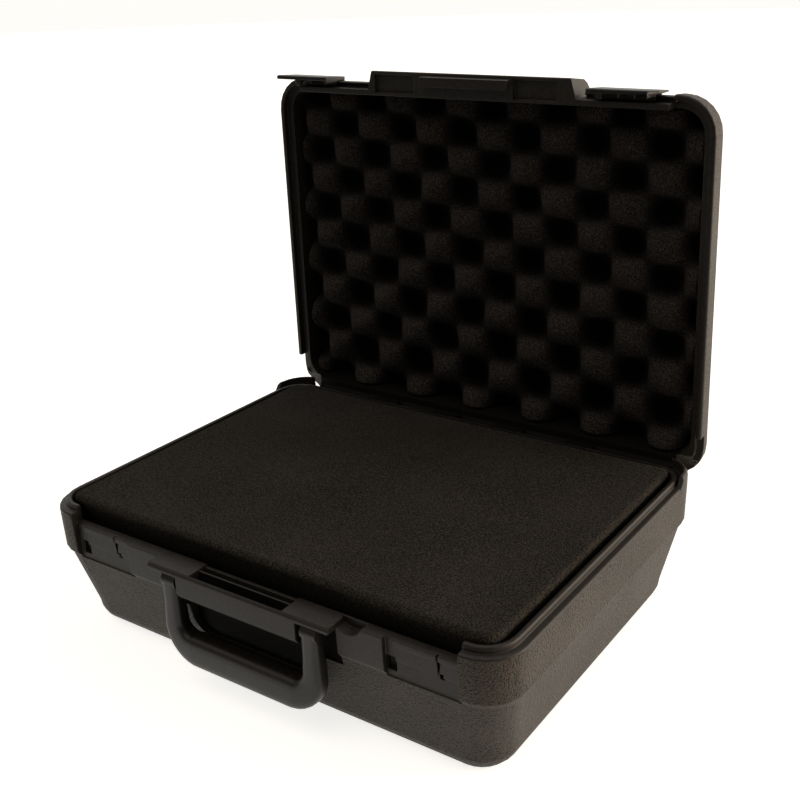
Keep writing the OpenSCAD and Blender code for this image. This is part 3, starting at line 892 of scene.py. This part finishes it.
@dataclass
class Studio:
    """Camera, pale floor and soft lamps.

    Attributes:
        picture_px: Width and height of the picture.
        focal_px: Focal length in pixels of that picture.
        azimuth: Direction of the camera round the case, in degrees.
        elevation: Height of the camera above the horizon, in degrees.
        roll: Turn of the picture, in degrees.
        eye: Place of the camera, in metres.
        centre_px: Where the optical axis meets the picture.
    """

    picture_px: tuple[int, int] = (800, 806)
    focal_px: float = 1117.266
    azimuth: float = 33.929
    elevation: float = 19.175
    roll: float = -1.765
    eye: Vector = field(default_factory=lambda: Vector((0.496090, -0.635758, 0.507108)))
    centre_px: tuple[float, float] = (442.025, 341.276)

    def camera(self) -> None:
        """Sets the camera that the photograph was taken from."""
        a, e, r = (math.radians(v) for v in (self.azimuth, self.elevation, self.roll))
        back = Vector((math.sin(a) * math.cos(e), -math.cos(a) * math.cos(e), math.sin(e)))
        right = Vector((math.cos(a), math.sin(a), 0))
        up = back.cross(right)
        right, up = (
            right * math.cos(r) + up * math.sin(r), up * math.cos(r) - right * math.sin(r)
        )
        data = bpy.data.cameras.new("camera")
        data.sensor_width = 36.0
        wide, high = self.picture_px
        data.lens = self.focal_px / high * data.sensor_width
        data.shift_x = -(self.centre_px[0] - wide / 2) / high
        data.shift_y = (self.centre_px[1] - high / 2) / high
        data.clip_start, data.clip_end = 0.05, 60.0
        camera = bpy.data.objects.new("camera", data)
        turn = Matrix((right, up, back)).transposed().to_4x4()
        camera.matrix_world = Matrix.Translation(self.eye) @ turn
        bpy.context.scene.collection.objects.link(camera)
        bpy.context.scene.camera = camera

    def seen(self, tree: bpy.types.NodeTree) -> bpy.types.NodeSocket:
        """Adds nodes that give 1 to camera, glossy and transmission rays and 0 to others."""
        path = add_node(tree, "LightPath")
        eye, gloss = path.outputs["Is Camera Ray"], path.outputs["Is Glossy Ray"]
        first = add_node(tree, "Math", links={0: eye, 1: gloss}, operation="MAXIMUM")
        return add_node(
            tree, "Math", links={0: first.outputs[0], 1: path.outputs["Is Transmission Ray"]},
            operation="MAXIMUM",
        ).outputs[0]

    def floor(self) -> None:
        """Lays a wide pale floor that keeps the soft shadow of the case."""
        bm = bmesh.new()
        bmesh.ops.create_circle(bm, cap_ends=True, segments=96, radius=9.0)
        mesh = bpy.data.meshes.new("floor")
        bm.to_mesh(mesh)
        bm.free()
        material, tree = new_material("studio_paper")
        # Light from the paper ends in front of the case, but every camera still sees it white
        place = add_node(tree, "TexCoord").outputs["Object"]
        along = add_node(tree, "SeparateXYZ", links={0: place})
        white = add_node(
            tree, "MapRange", {"From Min": -0.6, "From Max": -0.3, "To Min": 0.08, "To Max": 1.0},
            {"Value": along.outputs["Y"]}, interpolation_type="SMOOTHSTEP",
        )
        colour = add_node(
            tree, "Mix", {6: linear("#2a2927"), 7: linear("#f7f6f4")}, {0: white.outputs[0]},
            data_type="RGBA",
        )
        paper = add_node(tree, "BsdfDiffuse", links={"Color": colour.outputs[2]})
        glow = add_node(tree, "Emission", {"Color": linear("#fffefb")})
        share = add_node(tree, "Math", {1: 0.8}, {0: self.seen(tree)}, operation="MULTIPLY")
        near = add_node(
            tree, "Math", links={0: share.outputs[0], 1: white.outputs[0]}, operation="MULTIPLY"
        )
        rest = add_node(tree, "Math", {0: 1.0}, {1: white.outputs[0]}, operation="SUBTRACT")
        eye = add_node(tree, "LightPath").outputs["Is Camera Ray"]
        power = add_node(
            tree, "Math", links={0: rest.outputs[0], 1: eye, 2: near.outputs[0]},
            operation="MULTIPLY_ADD",
        )
        tree.links.new(power.outputs[0], glow.inputs["Strength"])
        both = add_node(tree, "AddShader", links={0: paper.outputs[0], 1: glow.outputs[0]})
        add_node(tree, "OutputMaterial", links={"Surface": both.outputs[0]})
        mesh.materials.append(material)
        link_object("floor", mesh)

    def world(self) -> None:
        """Gives a white surround for the eye and a plain level of light for the case."""
        world = bpy.data.worlds.new("studio")
        world.use_nodes = True
        tree = world.node_tree
        tree.nodes.clear()
        # The part of the room behind the camera is dark
        sight = add_node(tree, "TexCoord").outputs["Generated"]
        way = add_node(tree, "SeparateXYZ", links={0: sight})
        bright = add_node(
            tree, "MapRange", {"From Min": -0.5, "From Max": 0.3, "To Min": 0.1, "To Max": 1.0},
            {"Value": way.outputs["Y"]}, interpolation_type="SMOOTHSTEP",
        )
        power = add_node(tree, "Math", {1: 0.2}, {0: bright.outputs[0]}, operation="MULTIPLY")
        eye = add_node(tree, "LightPath").outputs["Is Camera Ray"]
        strength = add_node(
            tree, "Math", links={0: bright.outputs[0], 1: eye}, operation="MAXIMUM"
        )
        light = add_node(
            tree, "Background", {"Color": linear("#f4f1ec")}, {"Strength": power.outputs[0]}
        )
        shown = add_node(
            tree, "Background", {"Color": linear("#fffdf9")}, {"Strength": strength.outputs[0]}
        )
        mix = add_node(
            tree, "MixShader", links={0: self.seen(tree), 1: light.outputs[0], 2: shown.outputs[0]}
        )
        add_node(tree, "OutputWorld", links={"Surface": mix.outputs[0]})
        bpy.context.scene.world = world

    def lamp(self, name: str, place: tuple[float, float, float], size: float, power: float) -> None:
        """Hangs one square soft box that faces the case.

        Args:
            name: The lamp's name.
            place: Where it hangs, in metres.
            size: Length of its side, in metres.
            power: Its power, in watts.
        """
        data = bpy.data.lights.new(name, "AREA")
        data.shape, data.size, data.energy = "SQUARE", size, power
        data.color = linear("#ffebd2")[:3]
        lamp = bpy.data.objects.new(name, data)
        lamp.location = place
        aim = Vector((0, 0, 0.15)) - Vector(place)
        lamp.rotation_euler = aim.to_track_quat("-Z", "Y").to_euler()
        bpy.context.scene.collection.objects.link(lamp)

    def sky(
        self, name: str, way: tuple[float, float, float], spread: float, power: float,
        tint: str = "#fff4e4",
    ) -> None:
        """Adds light that falls evenly on floor and case from one broad part of the room.

        Args:
            name: The lamp's name.
            way: Direction from the case to the light.
            spread: Width of the light as seen from the case, in degrees.
            power: Its power, in watts per square metre.
            tint: Its colour.
        """
        data = bpy.data.lights.new(name, "SUN")
        data.angle, data.energy = math.radians(spread), power
        data.color = linear(tint)[:3]
        lamp = bpy.data.objects.new(name, data)
        lamp.rotation_euler = Vector(way).to_track_quat("Z", "Y").to_euler()
        bpy.context.scene.collection.objects.link(lamp)

    def build(self) -> None:
        """Sets up camera, floor, world and lamps."""
        self.camera()
        self.floor()
        self.world()
        # The ceiling, a high light in front, and the bright side of the room with its soft box
        self.sky("overhead", (-0.35, 0.2, 1.0), 90.0, 0.22)
        self.sky("front_high", (-0.25, -0.7, 1.0), 60.0, 0.65)
        self.sky("right_side", (1.0, 0.7, 0.14), 70.0, 2.9, "#ffecd4")
        self.lamp("right_box", (2.2, 1.2, 0.35), 0.6, 26.0)
        bpy.context.scene.view_settings.view_transform = "Standard"


def main() -> None:
    """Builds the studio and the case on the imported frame."""
    logging.basicConfig(level=logging.INFO, format="%(name)s: %(message)s")
    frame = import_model()
    Studio().build()
    sizes = CaseSizes()
    CaseBody(sizes).build(frame)
    Hardware().build(frame)
    FoamLiners(sizes).build()


if __name__ == "__main__":
    main()
